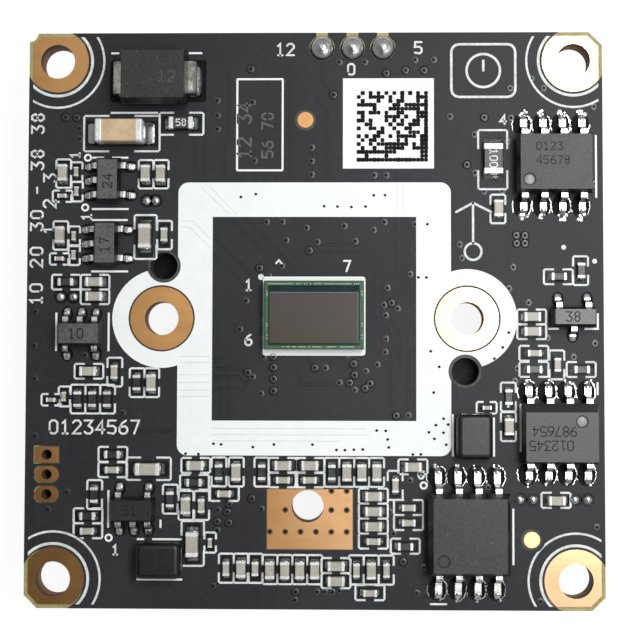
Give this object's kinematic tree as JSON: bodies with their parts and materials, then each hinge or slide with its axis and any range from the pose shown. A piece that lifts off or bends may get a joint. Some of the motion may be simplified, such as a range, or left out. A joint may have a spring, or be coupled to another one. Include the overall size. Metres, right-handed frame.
{
  "type": "camera module",
  "caption": "Square camera board with an image sensor in a printed frame, corner holes, lens holder holes, surface-mounted parts and plugs on the back.",
  "frame": {"origin": "middle of the four corner holes, on the board's back face", "axes": "+Z out of the front, the face with the image sensor; +X right and +Y up as that face is seen, with the row of three round solder joints at the top edge"},
  "size_m": [0.0378, 0.0378, 0.0087],
  "materials": {
    "laminate": "sawn glass-fibre laminate",
    "solder_mask": "satin black solder mask",
    "copper": "bare copper, satin",
    "white_print": "matte screen-printed ink",
    "silicon": "polished silicon",
    "pixel_field": "iridescent filter layer",
    "sensor_frame": "green resin frame",
    "cover_glass": "clear coated glass",
    "tan_ceramic": "smooth fired ceramic",
    "grey_ceramic": "smooth fired ceramic",
    "resistor_coat": "dark glass coat",
    "solder": "bright reflowed solder",
    "plated_pin": "gold-plated brass",
    "plug_plastic": "natural nylon",
    "coil_case": "pressed ferrite and resin",
    "crystal_can": "plated steel lid",
    "tinned_metal": "tin plate, satin",
    "moulded_black": "moulded epoxy, fine-grained"
  },
  "bodies": {
    "root": {"core": "laminate", "front_mask": "solder_mask", "back_mask": "solder_mask", "corner_pads": "copper", "lens_screw_pads": "copper", "earth_pad": "copper", "fiducials": "copper", "spare_header_pads": "copper", "lens_frame_print": "white_print", "corner_ring_print": "white_print", "label_print": "white_print", "chip_outline_print": "white_print", "part_outline_print": "white_print", "sensor_balls": "solder", "sensor_die": "silicon", "sensor_pixels": "pixel_field", "sensor_dam": "sensor_frame", "sensor_glass": "cover_glass", "upper_driver_body": "moulded_black", "upper_driver_leads": "tinned_metal", "lower_driver_body": "moulded_black", "lower_driver_leads": "tinned_metal", "flash_body": "moulded_black", "flash_leads": "tinned_metal", "regulator_bodies": "moulded_black", "regulator_leads": "tinned_metal", "transistor_body": "moulded_black", "transistor_leads": "tinned_metal", "diode_body": "moulded_black", "diode_leads": "tinned_metal", "coil_cases": "coil_case", "coil_ends": "tinned_metal", "large_capacitor_body": "tan_ceramic", "large_capacitor_ends": "tinned_metal", "medium_capacitor_bodies": "grey_ceramic", "medium_capacitor_ends": "tinned_metal", "capacitor_bodies": "grey_ceramic", "capacitor_ends": "tinned_metal", "small_capacitor_bodies": "grey_ceramic", "small_capacitor_ends": "tinned_metal", "tiny_capacitor_bodies": "grey_ceramic", "tiny_capacitor_ends": "tinned_metal", "resistor_bodies": "resistor_coat", "resistor_ends": "tinned_metal", "marked_resistor_bodies": "resistor_coat", "marked_resistor_ends": "tinned_metal", "chip_solder": "solder", "lead_solder": "solder", "spare_pad_solder": "solder", "plug_solder": "solder", "plug_pins": "plated_pin", "plug_shell": "plug_plastic", "wafer_shell": "plug_plastic", "processor_body": "moulded_black", "memory_body": "moulded_black", "back_balls": "solder", "network_body": "moulded_black", "network_leads": "tinned_metal", "network_lands": "solder", "crystal": "crystal_can"}
  },
  "joints": []
}
